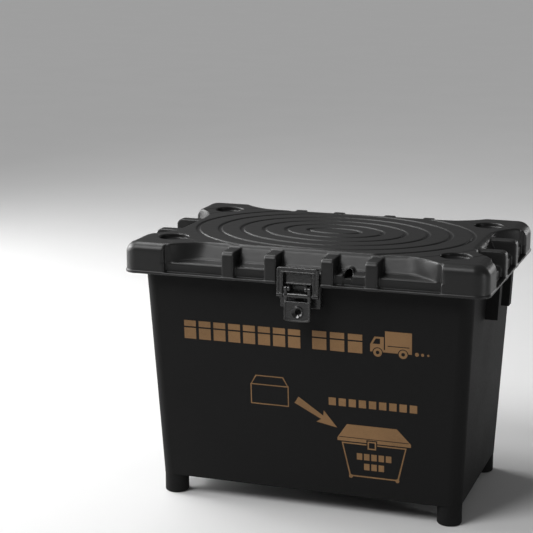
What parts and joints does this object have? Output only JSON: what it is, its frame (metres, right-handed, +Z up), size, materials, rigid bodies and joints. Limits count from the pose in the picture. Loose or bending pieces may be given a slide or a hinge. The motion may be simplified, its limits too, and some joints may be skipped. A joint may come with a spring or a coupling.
{
  "type": "parcel drop box",
  "caption": "Tapered black plastic parcel box on round feet, with a hinged ribbed lid, stacking cups, a cable slot and a front draw latch that takes a padlock.",
  "frame": {"origin": "on the ground under the middle of the box, between its four feet", "axes": "+X along the lid's width, -Y towards the front with the latch, +Z up"},
  "size_m": [0.6, 0.414, 0.437],
  "materials": {
    "tub_plastic": "fine moulded grain, satin",
    "lid_plastic": "fine moulded grain, satin",
    "latch_plastic": "smooth satin",
    "steel": "plated",
    "eyelet": "black enamel, half gloss",
    "print_ink": "flat screen print"
  },
  "bodies": {
    "tub_body": {"tub": "tub_plastic", "latch_bracket": "latch_plastic", "latch_rivet_left": "steel", "latch_rivet_right": "steel", "lever_pin_left": "steel", "lever_pin_right": "steel", "hinge_pin_left": "steel", "hinge_pin_right": "steel", "front_print": "print_ink"},
    "lid_body": {"lid": "lid_plastic", "latch_keeper": "latch_plastic"},
    "lever_body": {"latch_lever": "latch_plastic", "lock_eyelet": "eyelet", "bail_pin": "steel"},
    "bail_body": {"latch_bail": "latch_plastic"}
  },
  "joints": [
    {"name": "lid_hinge", "type": "hinge", "parent": "tub_body", "child": "lid_body", "pos_m": [0, 0.204, 0.3805], "axis": [-1, 0, 0], "range_deg": [0, 105]},
    {"name": "lever_hinge", "type": "hinge", "parent": "tub_body", "child": "lever_body", "pos_m": [0, -0.2005, 0.3815], "axis": [-1, 0, 0], "range_deg": [0, 110]},
    {"name": "bail_hinge", "type": "hinge", "parent": "lever_body", "child": "bail_body", "pos_m": [0, -0.199, 0.371], "axis": [1, 0, 0], "range_deg": [0, 143]}
  ],
  "couplings": [
    {"joint": "bail_hinge", "follows": "lever_hinge", "ratio": 1.3}
  ]
}
